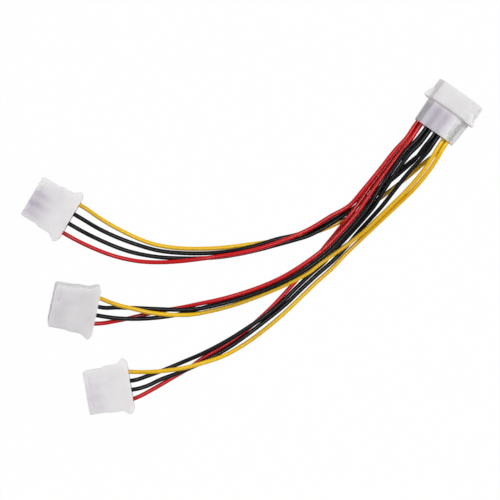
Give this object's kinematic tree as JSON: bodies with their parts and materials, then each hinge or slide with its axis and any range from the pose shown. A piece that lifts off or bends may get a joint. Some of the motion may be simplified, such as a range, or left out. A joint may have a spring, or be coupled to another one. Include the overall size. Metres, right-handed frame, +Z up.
{
  "type": "4-pin peripheral power splitter cable",
  "caption": "Wiring splitter: a shrouded pin connector feeds socket connectors with finger ears through loose red, black and yellow wires.",
  "frame": {"origin": "on the table, under the middle of the box around the four housings and their terminals", "axes": "+X across the layout towards the input housing, +Y away from the viewer, +Z up from the table"},
  "size_m": [0.2171, 0.1582, 0.0166],
  "materials": {
    "nylon": "satin, milky",
    "tin": "tin plated",
    "red_pvc": "semi-gloss",
    "black_pvc": "semi-gloss",
    "yellow_pvc": "semi-gloss"
  },
  "bodies": {
    "root": {"input_housing": "nylon", "input_shroud": "nylon", "output_housing_a": "nylon", "output_housing_b": "nylon", "output_housing_c": "nylon", "input_pin_red": "tin", "input_pin_black_1": "tin", "input_pin_black_2": "tin", "input_pin_yellow": "tin", "socket_a_red": "tin", "socket_a_black_1": "tin", "socket_a_black_2": "tin", "socket_a_yellow": "tin", "socket_b_red": "tin", "socket_b_black_1": "tin", "socket_b_black_2": "tin", "socket_b_yellow": "tin", "socket_c_red": "tin", "socket_c_black_1": "tin", "socket_c_black_2": "tin", "socket_c_yellow": "tin", "a_red": "red_pvc", "a_black_1": "black_pvc", "a_black_2": "black_pvc", "a_yellow": "yellow_pvc", "b_red": "red_pvc", "b_black_1": "black_pvc", "b_black_2": "black_pvc", "b_yellow": "yellow_pvc", "c_red": "red_pvc", "c_black_1": "black_pvc", "c_black_2": "black_pvc", "c_yellow": "yellow_pvc"}
  },
  "joints": []
}
